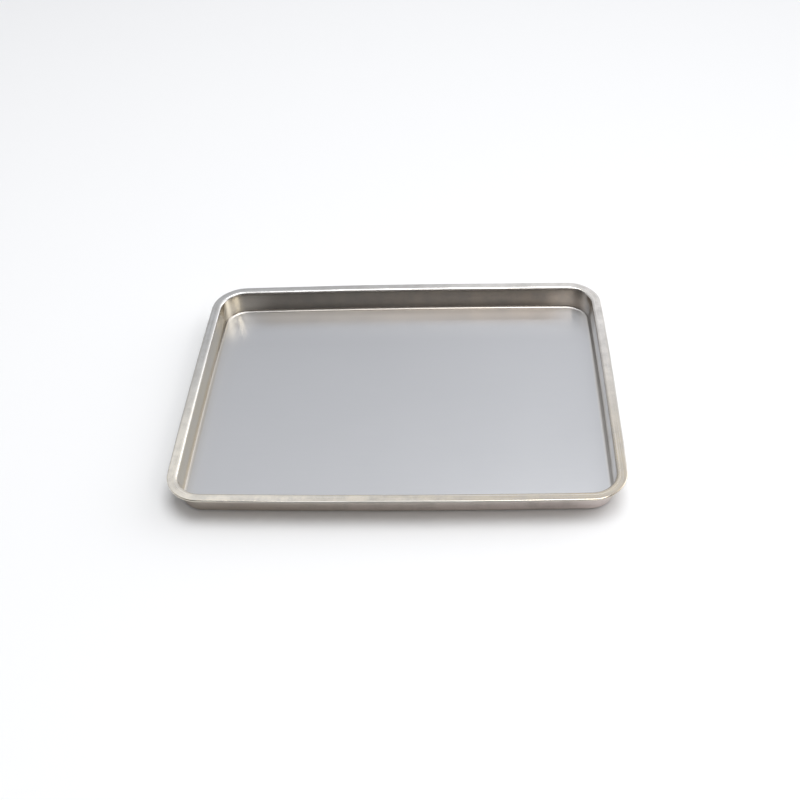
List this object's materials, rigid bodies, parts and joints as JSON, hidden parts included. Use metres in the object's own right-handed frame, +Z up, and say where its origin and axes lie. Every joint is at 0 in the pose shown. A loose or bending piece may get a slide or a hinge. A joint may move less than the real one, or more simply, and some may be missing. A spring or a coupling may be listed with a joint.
{
  "type": "pill counting tray",
  "caption": "Shallow rectangular tray pressed from one stainless steel sheet, with rounded corners, steep walls and a flat hemmed rim, for counting and carrying pills.",
  "frame": {"origin": "centre of the flat underside of the tray", "axes": "+Z up out of the open top, +X along the longer side, +Y along the shorter side, away from the viewer"},
  "size_m": [0.32, 0.24, 0.02],
  "materials": {
    "stainless_steel": "satin floor, brighter walls and rim"
  },
  "bodies": {
    "root": {"pressed_tray": "stainless_steel"}
  },
  "joints": []
}
